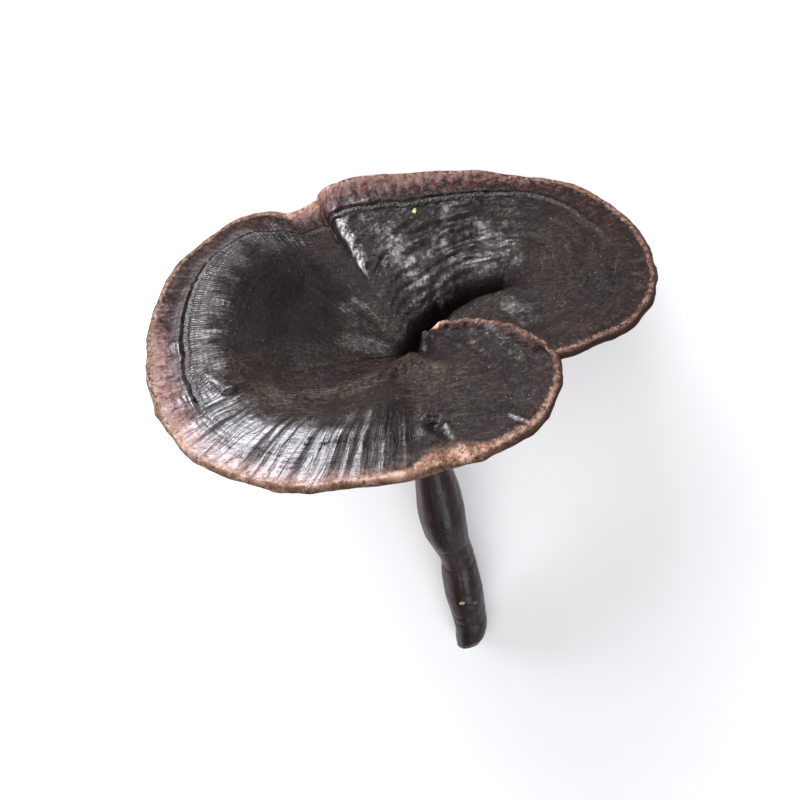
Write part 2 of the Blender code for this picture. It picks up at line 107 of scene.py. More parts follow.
# Places around the edge, clockwise as seen from above, starting at the tip of the front lobe.
# columns: how many columns of faces lie between this place and the next
# slot: where its growth line leaves the slot, 0 to 1
# bend: the point that the growth line bends towards
# edge: the edge of the cap
# crest: how far from the slot its surface turns level, and how high it is there
# rise: how steeply it leaves the slot
# band: width of the reddish band along the edge
# neck: the angle in degrees at which its underside meets the stem
# under: how late its underside dips towards the stem
Station = namedtuple("Station", "columns slot bend edge crest rise band neck under")
EDGE_PLACES = [
    (2, 0.1, (5.8, -6.7), (7, -6.3, -7.2), (3, -8.5), 1.5, 1.2, -28, 0.8),
    (2, 0.09, (6.1, -8.6), (9.8, -5.6, -3.6), (5.5, -5), 1.8, 2, -34, 0.85),
    (2, 0.07, (7.4, -13), (16, -8, -0.8), (9, -3), 2, 3, -39, 0.9),
    (2, 0.05, (9, -18), (24, -13, 1.5), (15, -1.5), 2.2, 4, -44, 0.95),
    (2, 0.04, (10.8, -23), (31, -19, 3.5), (21, -0.5), 2.4, 4.5, -48, 1),
    (2, 0.02, (12.2, -28), (37, -26.5, 4.5), (26, 0), 2.4, 5, -52, 1),
    (2, 0, (13, -31.5), (41, -33, 4.5), (30, 0.5), 2.4, 5, -55, 1),
    (2, 0, (13.3, -33), (43, -38.5, 4), (32, 0.5), 2.4, 5, -59, 1),
    (2, 0, (13, -34.5), (42.5, -44.5, 3.5), (34, 0.3), 2.4, 5, -63, 1),
    (2, 0, (12, -35.2), (40, -50.5, 2.5), (33, 0), 2.4, 5, -67, 1),
    (2, 0, (10.3, -35.5), (35.5, -56, 1), (30, -0.5), 2.4, 5, -71, 1),
    (2, 0, (8.3, -34.5), (30, -59.5, -0.5), (27, -1), 2.4, 5, -75, 1),
    (2, 0, (6.3, -33.5), (24, -61, -2), (24, -1.5), 2.4, 5, -80, 1),
    (2, 0, (4.3, -32.5), (17.5, -62, -3), (21, -2), 2.4, 5, -85, 1),
    (2, 0, (2.3, -31.5), (11, -62.5, -4), (19, -2.5), 2.4, 5.5, -90, 1),
    (2, 0, (0.4, -30.5), (4.5, -60.5, -5), (17, -3), 2.4, 6, -95, 1),
    (2, 0, (-1.6, -30), (-2, -61.5, -5), (16, -3), 2.4, 6, -99, 1),
    (2, 0, (-4, -31), (-9, -62, -5), (16, -3.5), 2.4, 6, -103, 1),
    (3, 0, (-8, -31), (-17, -61, -5), (17, -4), 2.4, 6, -109, 1),
    (3, 0, (-14, -31), (-28.5, -58.5, -5), (19, -4), 2.2, 6, -117, 1),
    (3, 0, (-20, -29), (-41.5, -55.5, -5), (23, -4.5), 2, 7, -127, 1),
    (3, 0, (-26, -26), (-52.5, -50.5, -4), (29, -5), 1.8, 8, -136, 1),
    (3, 0, (-31, -23), (-62.5, -43.5, -3), (36, -5), 1.6, 9, -144, 1),
    (3, 0, (-36, -18), (-71.5, -34, -2), (46, -4.5), 1.5, 10, -152, 1),
    (3, 0, (-38, -11), (-77, -22.5, -1), (55, -3.5), 1.4, 10.5, -160, 1),
    (3, 0, (-39, -6), (-80, -11, 0), (63, -2), 1.4, 11, -168, 1),
    (3, 0, (-39, 1), (-80.5, 3, 1), (68, -1), 1.4, 11, -177, 1),
    (3, 0, (-38, 8), (-78.5, 18, 1), (72, 0), 1.4, 11, -187, 1),
    (3, 0, (-36, 16), (-74, 34, 0), (73, 0), 1.4, 11, -198, 1),
    (3, 0, (-33, 21), (-66, 48.5, -1), (73, -0.5), 1.4, 11, -210, 1),
    (3, 0, (-30, 24), (-55, 59.5, -3), (70, -2), 1.4, 11, -222, 1),
    (2, 0, (-26, 24), (-42.5, 66.5, -4), (67, -3.2), 1.4, 11, -232, 1),
    (2, 0.01, (-21.5, 25), (-33, 65, -3), (65, -4.2), 1.4, 10, -240, 1),
    (2, 0.02, (-16.5, 28), (-26, 62.2, -3.5), (62, -5.2), 1.6, 9.5, -245, 1),
    (2, 0.03, (-11.7, 33.5), (-16.8, 61.6, 0), (59.5, -3.8), 1.8, 9, -251, 1),
    (2, 0.05, (-9.6, 33.5), (-14, 60, 4.2), (56, 1.5), 1.08, 9, -254, 1),
    (3, 0.08, (-6.2, 32), (-9.6, 59, 7), (54, 4.8), 1.02, 9.5, -258, 1),
    (3, 0.18, (-1, 28), (0, 58, 8), (52, 6), 1.18, 10, -266, 1),
    (3, 0.35, (9, 27), (12.5, 55, 7), (46, 5.5), 1.4, 10, -275, 1),
    (3, 0.5, (20, 29), (25.5, 53.5, 5), (42, 4), 1.5, 10, -284, 1),
    (2, 0.68, (29, 29), (38, 52, 2), (39, 2), 1.6, 10, -292, 1),
    (2, 0.85, (36, 27), (47.5, 49, -1), (36, 0.5), 1.7, 9, -299, 1),
    (2, 0.95, (42, 25), (58, 45.5, -3), (32, 0), 1.8, 9, -306, 0.95),
    (2, 1, (48, 22), (67.5, 37, -3), (29, 0), 1.9, 9, -314, 0.9),
    (3, 1, (53, 16), (75, 24, -2), (27, 0), 2, 9, -322, 0.85),
    (3, 1, (55, 9), (79.5, 9, -1), (25, 0), 2, 8, -330, 0.85),
    (2, 1, (55, 2), (80.5, -5, 0), (24, 0), 2, 7, -338, 0.85),
    (2, 1, (53, -3), (79, -15.5, 0), (22, -0.5), 2, 7, -343, 0.85),
    (2, 0.97, (50, -6), (73.5, -25, 0), (20, -1), 2.2, 7, -348, 0.85),
    (2, 0.92, (46, -9), (65.5, -31, 0), (17, -1.5), 2.4, 7, -353, 0.85),
    (2, 0.86, (41, -10), (56.5, -33, 0), (14, -2.5), 2.6, 6, -357, 0.85),
    (2, 0.78, (36, -10), (46, -34, -1), (12, -3.5), 2.8, 5, -361, 0.85),
    (2, 0.68, (30, -8), (37, -30.5, -3), (11, -4.5), 3, 4, -365, 0.8),
    (3, 0.56, (24, -5), (29, -23.5, -6), (9, -5.5), 3, 3, -369, 0.75),
    (2, 0.44, (19, -3), (22, -16.5, -9), (7.5, -7.5), 2.6, 2.5, -373, 0.7),
    (2, 0.36, (14.5, -1.5), (16.5, -10.5, -12), (6, -10.5), 2, 2, -376, 0.7),
    (2, 0.27, (11.5, -1), (12.8, -6, -14), (4, -13), 2, 1.2, -377, 0.7),
    (2, 0.2, (9.5, -2), (10.3, -4.7, -13.8), (2, -13.5), 1.5, 1, -380, 0.7),
    (2, 0.15, (7.4, -2.9), (8.4, -4.8, -11.5), (1.1, -12), 1.5, 1, -383, 0.7),
]
STATIONS = [Station(*place) for place in EDGE_PLACES]
FINENESS = 4
counts = [station.columns * FINENESS for station in STATIONS]
edges = np.array([station.edge for station in STATIONS])
gaps = np.linalg.norm(np.roll(edges, -1, axis=0)[:, :2] - edges[:, :2], axis=1)


def ramp(low, high, value):
    """Zero at low and one at high, with a smooth way between."""
    share = np.clip((value - low) / (high - low), 0.0, 1.0)
    return share * share * (3.0 - 2.0 * share)


def hump(away, half_width):
    """One where away is zero, sinking to nearly nothing at two half widths."""
    return np.exp(-((away / half_width) ** 2))


def round_the_edge(values, limited=True):
    """Values at every column, from those at the stations, by cubic pieces that close on themselves."""
    values = np.asarray(values, float)
    spread = (-1,) + (1,) * (values.ndim - 1)
    gap_after = np.asarray(gaps, float).reshape(spread)
    gap_before = np.roll(gap_after, 1, axis=0)
    slope_before = (values - np.roll(values, 1, axis=0)) / gap_before
    slope_after = (np.roll(values, -1, axis=0) - values) / gap_after
    slopes = (slope_before * gap_after + slope_after * gap_before) / (gap_before + gap_after)
    if limited:
        steepest = 2.5 * np.minimum(np.abs(slope_before), np.abs(slope_after))
        slopes = np.clip(slopes, -steepest, steepest) * (slope_before * slope_after > 0)
    pieces = []
    for index, count in enumerate(counts):
        following = (index + 1) % len(counts)
        u = (np.arange(count) / count).reshape(spread)
        pieces.append(
            values[index] * (1 + 2 * u) * (1 - u) ** 2
            + values[following] * u * u * (3 - 2 * u)
            + gap_after[index] * slopes[index] * u * (1 - u) ** 2
            - gap_after[index] * slopes[following] * u * u * (1 - u)
        )
    return np.concatenate(pieces)


def slot_points(shares):
    """Points of the slot's line, at shares of its length."""
    line = np.array(SLOT)
    steps = np.linalg.norm(np.diff(line, axis=0), axis=1)
    along = np.concatenate([[0.0], np.cumsum(steps)]) / steps.sum()
    return np.stack([np.interp(shares, along, line[:, axis]) for axis in range(3)], axis=-1)


def bent(start, bend, end, share):
    """Points of the quadratic curve from start to end that bends towards bend."""
    share = np.asarray(share)[..., None]
    return start * (1 - share) ** 2 + 2 * bend * share * (1 - share) + end * share**2


def grain(*coordinates):
    """Smooth noise from -1 to 1 at the points whose three coordinates are given."""
    spread = np.broadcast_arrays(*coordinates)
    points = np.stack([axis.ravel() for axis in spread], axis=1).tolist()
    return np.array([noise.noise(point) for point in points]).reshape(spread[0].shape)


edge = round_the_edge(edges[:, :2], limited=False)
edge_z = round_the_edge(edges[:, 2])
bend = round_the_edge([station.bend for station in STATIONS], limited=False)
slot = slot_points(round_the_edge([station.slot for station in STATIONS]))
crest_reach, crest_z = round_the_edge([station.crest for station in STATIONS]).T
rise = round_the_edge([station.rise for station in STATIONS])
plain_band = round_the_edge([station.band for station in STATIONS])
under = round_the_edge([station.under for station in STATIONS])
place = np.concatenate([i + np.arange(n) / n for i, n in enumerate(counts)])
turns = [station.neck for station in STATIONS] + [STATIONS[0].neck - 360.0]
neck_turn = np.radians(np.interp(place, np.arange(len(turns)), turns))
ahead = np.roll(edge, -1, axis=0) - np.roll(edge, 1, axis=0)
ahead /= np.linalg.norm(ahead, axis=1)[:, None]
out = np.stack([-ahead[:, 1], ahead[:, 0]], axis=1)
thick = np.minimum(RIM_BASE + RIM_PER_BAND * plain_band, RIM_MOST)
bulge = RIM_BULGE * thick * ramp(*BULGING_BANDS, plain_band)
lip = edge - out * bulge[:, None]
toward = bend - slot[:, :2]
toward /= np.linalg.norm(toward, axis=1)[:, None]
start = slot[:, :2] + toward * SLOT_HALF_WIDTH
along = np.concatenate([[0.0], np.cumsum(np.linalg.norm(np.diff(edge, axis=0), axis=1))])

# The run along each growth line, from the slot to the lip of the rim
LINE_STEPS = 60
steps = np.linspace(0.0, 1.0, LINE_STEPS + 1)
line_points = bent(start[:, None], bend[:, None], lip[:, None], steps[None])
line_runs = np.cumsum(np.linalg.norm(np.diff(line_points, axis=1), axis=2), axis=1)
line_runs = np.concatenate([np.zeros((len(line_runs), 1)), line_runs], axis=1)
length = line_runs[:, -1]

# How the margin looks at some of the stations: the width of its pale edge, how rosy its band is, how
# clear the furrow between band and crust is, and how much of the crust there is lacquered
MARGIN_LOOKS = [
    (0, 6, 1, 0, 0.2),
    (1, 2, 0.6, 0, 0.3),
    (2, 0.5, 0.6, 0.05, 0.35),
    (5, 0.4, 0.55, 0.05, 0.35),
    (8, 0.9, 0.2, 0.05, 0.1),
    (11, 1.6, 0.2, 0.05, 0.05),
    (13, 2.2, 0.4, 0.05, 0.1),
    (14.3, 6.5, 0.8, 0, 0.2),
    (15.8, 6, 0.8, 0, 0.4),
    (17, 2, 0.5, 0, 0.8),
    (19, 1.2, 0.8, 0, 1),
    (23.5, 1.2, 1, 0, 1),
    (24.6, 0.9, 1, 0.8, 1),
    (26.5, 0.8, 0.8, 1, 0.9),
    (28, 1, 0.3, 1, 0.9),
    (29.5, 1.1, 0, 1, 0.7),
    (32, 1.5, 0.15, 0.9, 0.45),
    (33.2, 2.6, 0.7, 0.6, 0.2),
    (34, 3.2, 0.8, 0.5, 0.2),
    (35, 1.6, 0.8, 0.8, 0.9),
    (36.3, 0.9, 0.75, 1, 0.4),
    (38, 0.9, 0.7, 1, 0.4),
    (41, 0.9, 0.6, 1, 0.3),
    (43, 0.9, 0.35, 0.8, 0.1),
    (45.5, 0.8, -0.1, 0, 0),
    (50, 0.9, -0.1, 0, 0),
    (52, 1.4, 0.2, 0, 0.1),
    (55, 0.9, 0.3, 0.1, 0.3),
    (59, 6, 1, 0, 0.2),
]
look_places, *looks = np.array(MARGIN_LOOKS).T
pale, rosy, furrowed, lacquer = [np.interp(place, look_places, look) for look in looks]

# The crust ends in a wavering line, some way in from the edge
CRUST_EDGE_WAVER = 0.7
from_tip = np.minimum(along, along[-1] - along)
steady = ramp(0.0, 5.0, from_tip)
waver = CRUST_EDGE_WAVER * (grain(along / 9.0, 0.0, 4.0) + 0.7 * grain(along / 2.4, 0.0, 8.0))
band = plain_band + waver * ramp(2.5, 6.0, plain_band) * steady
crust = length - band


def plan(reach):
    """Where each growth line is, seen from above, once it has run this far."""
    share = [np.interp(reach[:, i], line_runs[i], steps) for i in range(len(length))]
    return bent(start, bend, lip, np.stack(share, axis=1))


def between(first, last, soft):
    """One on the columns between two stations, fading out over a few stations beside them."""
    return ramp(first - soft, first, place) * (1 - ramp(last, last + soft, place))


# Radial creases that run in from the edge: station, half width in stations, how far in, how deep.
# Each keeps its depth over the first part of its run, and strays some way from its growth line.
CREASES = [
    (24.33, 0.3, 18, 1.4),
    (15, 0.45, 22, 1.3),
    (11, 0.4, 15, 0.8),
    (34.3, 0.3, 44, 1.7),
]
CREASE_DEEP_SHARE = 0.3
CREASE_WOBBLE = 0.35

# The shoulder along the left and front left: its height, its stations and how far in from the lip it
# rises and sinks again
SHOULDER_HEIGHT = 4.2
SHOULDER_STATIONS = (19.0, 29.5)
SHOULDER_FADE = 3.0
SHOULDER_RISE = (0.0, 20.0)
SHOULDER_SINK = (22.0, 44.0)


def wobble(reach):
    """How far the creases stray from the growth lines, in stations."""
    return CREASE_WOBBLE * grain(length / 40.0, (length - reach) / 5.5, 22.5)


def broad_height(reach):
    """The height of the cap's broad form at this run along each growth line."""
    slot_z = slot[:, 2]
    inset = length - reach
    climb = np.clip(reach / crest_reach, 0.0, 1.0)
    beyond = ramp(crest_reach, length, reach)
    z = slot_z + (crest_z - slot_z) * (1 - (1 - climb) ** rise) + (edge_z - crest_z) * beyond
    shoulder = ramp(*SHOULDER_RISE, inset) * (1 - ramp(*SHOULDER_SINK, inset))
    z = z + SHOULDER_HEIGHT * shoulder * between(*SHOULDER_STATIONS, SHOULDER_FADE)
    for station, half_width, how_far, depth in CREASES:
        beside = hump(place + wobble(reach) - station, half_width)
        z = z - depth * beside * (1 - ramp(CREASE_DEEP_SHARE * how_far, how_far, inset))
    return z


# Relief, as heights in millimetres: growth ledges with finer waves and ripples between them, radial
# wrinkles and streaks, lumps, the furrow between crust and band with its beads, and the round scar
LEDGES = 5.5
LEDGE_HEIGHT = 0.16
LEDGES_COME_IN = (0.35, 0.6)
LEDGED_LENGTHS = (15.0, 50.0)
WAVE_LENGTH = 3.9
WAVE_HEIGHT = 0.21
RIPPLE_LENGTH = 2.6
RIPPLE_HEIGHT = 0.05
WRINKLE_HEIGHT = 0.17
STREAK_HEIGHT = 0.28
LUMP_HEIGHT = 0.5
FURROW_DEPTH = 0.9
FURROW_WIDTH = 1.1
CRUST_STEP = 0.3
SECOND_FURROWS = (3.2, 6.0)
SECOND_FURROW_DEPTH = 0.4
SECOND_FURROW_HALF_WIDTH = 0.55
BEAD_HEIGHT = 1.4
THROAT_LUMP_HEIGHT = 1.2
PLEAT_HEIGHT = 0.13
# Knobbly places beside the throat: the middle, the radius and the height of each
KNOBBLY_PLACES = [(6.0, -9.0, 8.0, 0.9), (16.0, 9.5, 6.0, 1.8)]
# A rounded ridge where the front left turns level
RIDGE_HEIGHT = 1.5
RIDGE_HALF_WIDTH = 2.6
RIDGE_WANDER = 2.5
SCAR = (2.1, -44.6, -2.6)
SCAR_RADIUS = 2.6
SCAR_DEPTH = 0.9

# Which stations have which relief and looks. Grooved margins shine in streaks and zoned ones in rings,
# the gloss of the grooved ones grows fuller to the left, and combed crust has its hairs along the rings.
wavy = between(35.5, 45.0, 1.5)
rippled = 0.35 + 0.65 * between(23.0, 31.0, 2.0)
wrinkled = 0.2 + 0.8 * between(16.0, 29.0, 2.0) + 0.5 * between(34.6, 41.0, 1.0)
streaky = 0.2 + between(34.6, 42.0, 1.5) + 0.4 * between(16.0, 23.0, 2.0)
beaded = between(1.0, 6.0, 1.0)
ridged = between(15.0, 25.0, 3.5)
zoned = between(25.0, 33.0, 0.8)
grooved = between(17.0, 29.0, 1.5) * (1 - zoned)
fullness = ramp(16.5, 23.5, place)
combed = between(40.0, 53.0, 4.0)
twice_furrowed = between(25.0, 29.0, 1.0)


def relief(reach, where):
    """The height of the finer forms, for runs along the growth lines and their places in plan."""
    x, y = where[..., 0], where[..., 1]
    share = np.minimum(reach / crust, 1.0)
    inset = length - reach
    past_crust = reach - crust
    crust_end = 0.25 + 4.5 * (1 - furrowed)
    on_crust = 1 - ramp(-1.4 * crust_end, 0.6 * crust_end, past_crust)
    off_slot = ramp(1.5, 8.0, reach)
    away = off_slot * on_crust

    # Ledges, waves and ripples along the rings
    long_line = ramp(*LEDGED_LENGTHS, length)
    uneven = grain(along / 24.0, reach / 14.0, 1.5)
    ledges = -np.cos(2 * math.pi * LEDGES * share) * ramp(*LEDGES_COME_IN, share)
    z = LEDGE_HEIGHT * ledges * long_line * on_crust
    dots = 0.7 + 1.2 * grain(along / 1.7, reach / 4.0, 13.5)
    waves = np.sin(2 * math.pi * (reach / WAVE_LENGTH + 0.7 * uneven)) * dots
    z += WAVE_HEIGHT * waves * wavy * away * ramp(5.0, 14.0, inset)
    ripples = np.sin(2 * math.pi * (reach / RIPPLE_LENGTH + 1.1 * uneven))
    patchy = 0.5 + 0.8 * grain(along / 11.0, reach / 9.0, 6.5)
    z += RIPPLE_HEIGHT * ripples * patchy * rippled * away

    # Wrinkles and streaks across the rings, lumps, and the ridge
    wrinkles = grain(along / 1.5, reach / 15.0, 2.5) + 0.5 * grain(along / 3.6, reach / 22.0, 3.5)
    z += WRINKLE_HEIGHT * wrinkles * wrinkled * ramp(38.0, 18.0, inset) * away
    streaks = grain(along / 3.8, reach / 26.0, 9.5)
    z += STREAK_HEIGHT * streaks * streaky * ramp(6.0, 16.0, reach) * on_crust
    lumps = grain(x / 13.0, y / 13.0, 0.5) + 0.5 * grain(x / 5.5, y / 5.5, 5.5)
    lumps += 0.25 * grain(x / 2.6, y / 2.6, 18.5)
    z += LUMP_HEIGHT * lumps * off_slot * (0.4 + 0.6 * on_crust)
    ridge_line = crest_reach + RIDGE_WANDER * grain(along / 14.0, 0.0, 24.5)
    ridge = hump(reach - ridge_line, RIDGE_HALF_WIDTH) * (0.8 + grain(along / 5.0, 0.0, 25.5))
    z += RIDGE_HEIGHT * ridge * ridged

    # The furrow, more furrows outside it, and the knobs of the beaded edge
    clear = furrowed * ramp(3.0, 6.0, plain_band)
    beads = grain(along / 1.9, 0.0, 7.5)
    furrow = hump(past_crust - 0.5 * FURROW_WIDTH, 0.5 * FURROW_WIDTH)
    z -= FURROW_DEPTH * furrow * np.clip(0.6 + 1.5 * beads, 0.1, 1.6) * clear
    z += CRUST_STEP * ramp(0.2, -0.5, past_crust) * ramp(-6.0, -1.5, past_crust) * clear
    for inwards in SECOND_FURROWS:
        line = inwards + 0.5 * grain(along / 7.0, inwards, 14.5)
        second = hump(inset - line, SECOND_FURROW_HALF_WIDTH) * twice_furrowed
        z -= SECOND_FURROW_DEPTH * second * (0.6 + 0.8 * grain(along / 0.9, inwards, 15.5))
    knobs = grain(along / 2.7, inset / 2.3, 11.5) * ramp(-2.5, 0.3, past_crust)
    z += BEAD_HEIGHT * knobs * beaded

    # Lumps in the throat, pleats on the band, the scar, and the knobbly places
    throat = between(0.0, 9.0, 1.5) * ramp(1.5, 4.0, reach) * ramp(16.0, 9.0, reach)
    z += THROAT_LUMP_HEIGHT * grain(x / 3.2, y / 3.2, 23.5) * throat
    pleats = grain(along / 1.4, inset / 7.0, 12.5) + 0.8 * grain(along / 2.6, inset / 2.2, 16.5)
    z += PLEAT_HEIGHT * pleats * (1 - on_crust) * ramp(0.0, 1.5, inset)
    from_scar = np.hypot(x - SCAR[0], y - SCAR[1]) / SCAR_RADIUS
    crater = hump(from_scar, 1.0) - 0.4 * hump(from_scar - 1.5, 0.5)
    z -= SCAR_DEPTH * crater * (1.0 + 0.9 * grain(x / 1.4, y / 1.4, 17.5))
    z = z * steady
    for middle_x, middle_y, radius, height in KNOBBLY_PLACES:
        near = hump(np.hypot(x - middle_x, y - middle_y), radius)
        z += height * grain(x / 3.0, y / 3.0, 26.5) * near * ramp(1.0, 3.5, reach)
    return z


# Rings of points over the crust, over the band, round the rim and under the cap
INNER_RINGS = np.linspace(0.0, 0.72, 68, endpoint=False)
OUTER_RINGS = np.linspace(0.72, 1.0, 60)
BAND_RINGS = np.concatenate([np.linspace(0.0, 0.35, 12)[1:], np.linspace(0.35, 1.0, 10)[1:]])
RIM_RINGS = 8
UNDER_RINGS = 20

reach = np.concatenate(
    [
        np.outer(np.concatenate([INNER_RINGS, OUTER_RINGS]), crust),
        crust + np.outer(BAND_RINGS, band),
    ]
)
top_plan = plan(reach)
well = WELL_DEPTH * hump(reach, WELL_REACH)
top_z = broad_height(reach) - well + relief(reach, top_plan)
top = np.concatenate([top_plan, top_z[..., None]], axis=2)
floor_plan = slot[:, :2] + toward * WELL_FLOOR_SHARE * SLOT_HALF_WIDTH
floor_z = slot[:, 2] - WELL_DEPTH - WELL_FLOOR_DROP
slot_floor = np.concatenate([floor_plan, floor_z[:, None]], axis=1)[None]

rim = []
for turn in np.linspace(0.0, math.pi, RIM_RINGS + 1)[1:]:
    knobbly = 1 + RIM_KNOBS * grain(along / 6.0, turn, 20.5)
    knobbly += RIM_FINE_KNOBS * grain(along / 2.2, turn * 1.4, 21.5)
    around = lip + out * (bulge * knobbly * math.sin(turn))[:, None]
    rim_z = top_z[-1] - thick * (1 - math.cos(turn)) / 2
    rim.append(np.concatenate([around, rim_z[:, None]], axis=1))

neck = NECK_RADIUS * np.stack([np.cos(neck_turn), np.sin(neck_turn)], axis=1)
stop = np.minimum(UNDER_STOP, UNDER_STOP_SHARE * length)
inward = UNDER_REACH * (length - stop)
underside = []
for share in np.linspace(0.0, 1.0, UNDER_RINGS + 1)[1:]:
    under_reach = (length - inward * share)[None]
    low_z = broad_height(under_reach)[0] - thick * (1 + THICKENING * share)
    to_neck = ramp(TURN_DOWN, 1.0, share) ** under
    under_plan = plan(under_reach)[0] * (1 - to_neck)[:, None] + neck * to_neck[:, None]
    under_z = low_z * (1 - to_neck) + NECK_Z * to_neck
    underside.append(np.concatenate([under_plan, under_z[:, None]], axis=1))

points = np.concatenate([slot_floor, top, np.array(rim), np.array(underside)])


def sheet_of(name, points):
    """A sheet of faces through rings of points, laid down, with its two long edges together."""
    bpy.ops.object.select_all(action="DESELECT")
    rings, columns = points.shape[:2]
    bpy.ops.mesh.primitive_grid_add(x_subdivisions=columns, y_subdivisions=rings - 1, size=1.0)
    piece = bpy.context.object
    piece.name = piece.data.name = name
    sheet = np.concatenate([points, points[:, :1]], axis=1).reshape(-1, 3) * MM
    laid = sheet @ np.array(lying.to_3x3()).T + np.array(lying.translation)
    piece.data.vertices.foreach_set("co", laid.ravel())
    return piece


def give(piece, name, kind, values):
    """Stores a value for each point of the piece's rings, for its finish to read."""
    layer = piece.data.attributes.new(name, kind, "POINT")
    again = np.concatenate([values, values[:, :1]], axis=1)
    layer.data.foreach_set("vector" if kind == "FLOAT_VECTOR" else "value", again.ravel())


def close_up(piece):
    """Joins the sheet's two long edges and fills its ends."""
    bpy.ops.object.mode_set(mode="EDIT")
    bpy.ops.mesh.select_all(action="SELECT")
    bpy.ops.mesh.remove_doubles(threshold=0.000001)
    bpy.ops.mesh.select_all(action="DESELECT")
    bpy.ops.mesh.select_mode(type="EDGE")
    bpy.ops.mesh.select_non_manifold()
    bpy.ops.mesh.edge_face_add()
    bpy.ops.mesh.select_all(action="SELECT")
    bpy.ops.mesh.normals_make_consistent(inside=False)
    bpy.ops.object.mode_set(mode="OBJECT")
    piece.data.shade_smooth()


cap = sheet_of("mushroom_cap", points)

# How each point grew: its place along the edge, its run from the slot and how far in from the lip it
# is, all in millimetres, and under the rim how far past the lip as a negative number
past_lip = -np.cumsum(np.linalg.norm(np.diff(points[len(top):], axis=0), axis=2), axis=0)
inset = np.concatenate([length[None], length - reach, past_lip])
run = length - inset

# Where the crust stayed glossy: along parts of the margin, and in patches further in: the middle of
# each patch, its two half widths, how far it is turned, and how glossy it is
GLOSSY_PATCHES = [
    (-9.5, 38, 3.6, 19, 12, 1),
    (4, 26, 11, 12, 0, 0.42),
    (15, 29, 9, 11, 0, 0.37),
    (29, 24, 25, 13, -31, 0.5),
    (12, 14, 11, 7, 0, 0.5),
    (15, 9, 5, 4, 0, 0.8),
    (-9, 14, 14, 11, 0, 0.33),
    (-12, -1, 13, 6, -34, 0.45),
    (36, -10, 4.5, 17, 21, 0.4),
    (8, -12, 9, 8, 0, 0.35),
    (5, -9, 5, 5, 0, 0.6),
    (-33, 46, 10, 6, 0, 0.5),
    (27, -55.5, 7.5, 1.6, -43, 0.55),
    (4.5, -47.5, 1.7, 7, 21, 0.75),
]
on_top = slice(len(slot_floor) + len(top))
top_x, top_y = points[on_top, :, 0], points[on_top, :, 1]
patches = np.zeros_like(run)
for x, y, half_width, half_height, turned, strength in GLOSSY_PATCHES:
    swing = math.radians(turned)
    across = ((top_x - x) * math.cos(swing) + (top_y - y) * math.sin(swing)) / half_width
    upward = ((top_y - y) * math.cos(swing) - (top_x - x) * math.sin(swing)) / half_height
    patch = strength * (1 - ramp(0.35, 1.25, np.hypot(across, upward)))
    patches[on_top] = np.maximum(patches[on_top], patch)

# No patch crosses the crease beside the fold
strayed = place + wobble(run)
by_fold = ramp(33.0, 33.1, strayed) * (1 - ramp(34.4, 34.8, strayed))
patches *= 1 - by_fold * ramp(10.0, 26.0, run)
on_margin = 1 - 0.6 * (1 - ramp(0.4, 0.9, inset / band)) * between(24.5, 42.0, 1.0)
marginal = lacquer * (1 - ramp(14.0, 30.0, inset)) * ramp(-3.0, 1.0, inset) * on_margin

# Where shade is painted on the hollow, darkest in its middle: its middle and its two half widths
HOLLOW = (-31.0, 20.0, 23.0, 24.0)
from_hollow = np.hypot((top_x - HOLLOW[0]) / HOLLOW[2], (top_y - HOLLOW[1]) / HOLLOW[3])
shaded = np.zeros_like(run)
shaded[on_top] = 1 - ramp(0.4, 1.2, from_hollow)

# The raised, hairier ground just inside the ridge
RAISED_INSIDE = 4.0
RAISED_HALF_WIDTH = 8.0
raised = hump(run - crest_reach + RAISED_INSIDE, RAISED_HALF_WIDTH) * between(12.0, 25.0, 3.0)

give(cap, "grown", "FLOAT_VECTOR", np.stack([np.broadcast_to(along, run.shape), run, inset], axis=2))
surface_looks = {
    "glossy": np.maximum(patches, marginal),
    "shaded": shaded,
    "raised": raised,
    "band": band,
    "pale": pale,
    "rosy": rosy,
    "furrowed": furrowed,
    "grooved": grooved,
    "zoned": zoned,
    "fullness": fullness,
    "combed": combed,
}
for name, values in surface_looks.items():
    give(cap, name, "FLOAT", np.broadcast_to(values, run.shape))
close_up(cap)


class Value:
    """A number that varies over a surface. Sums and products of values add their Math nodes."""

    def __init__(self, finish, socket):
        self.finish = finish
        self.socket = socket

    def math(self, operation, *numbers):
        node = self.finish.add("Math", list(numbers), operation=operation)
        return Value(self.finish, node.outputs[0])

    def __add__(self, other):
        return self.math("ADD", self, other)

    def __sub__(self, other):
        return self.math("SUBTRACT", self, other)

    def __rsub__(self, other):
        return self.math("SUBTRACT", other, self)

    def __mul__(self, other):
        return self.math("MULTIPLY", self, other)

    def __truediv__(self, other):
        return self.math("DIVIDE", self, other)

    __radd__ = __add__
    __rmul__ = __mul__

    def size(self):
        return self.math("ABSOLUTE", self)

    def sine(self):
        return self.math("SINE", self)

    def most(self, other):
        return self.math("MAXIMUM", self, other)

    def rising(self, low, high):
        """Zero below low and one above high, with a smooth way between."""
        sockets = {"Value": self, "From Min": low, "From Max": high}
        node = self.finish.add("MapRange", sockets, interpolation_type="SMOOTHSTEP")
        return Value(self.finish, node.outputs["Result"])

    def falling(self, low, high):
        return 1.0 - self.rising(low, high)


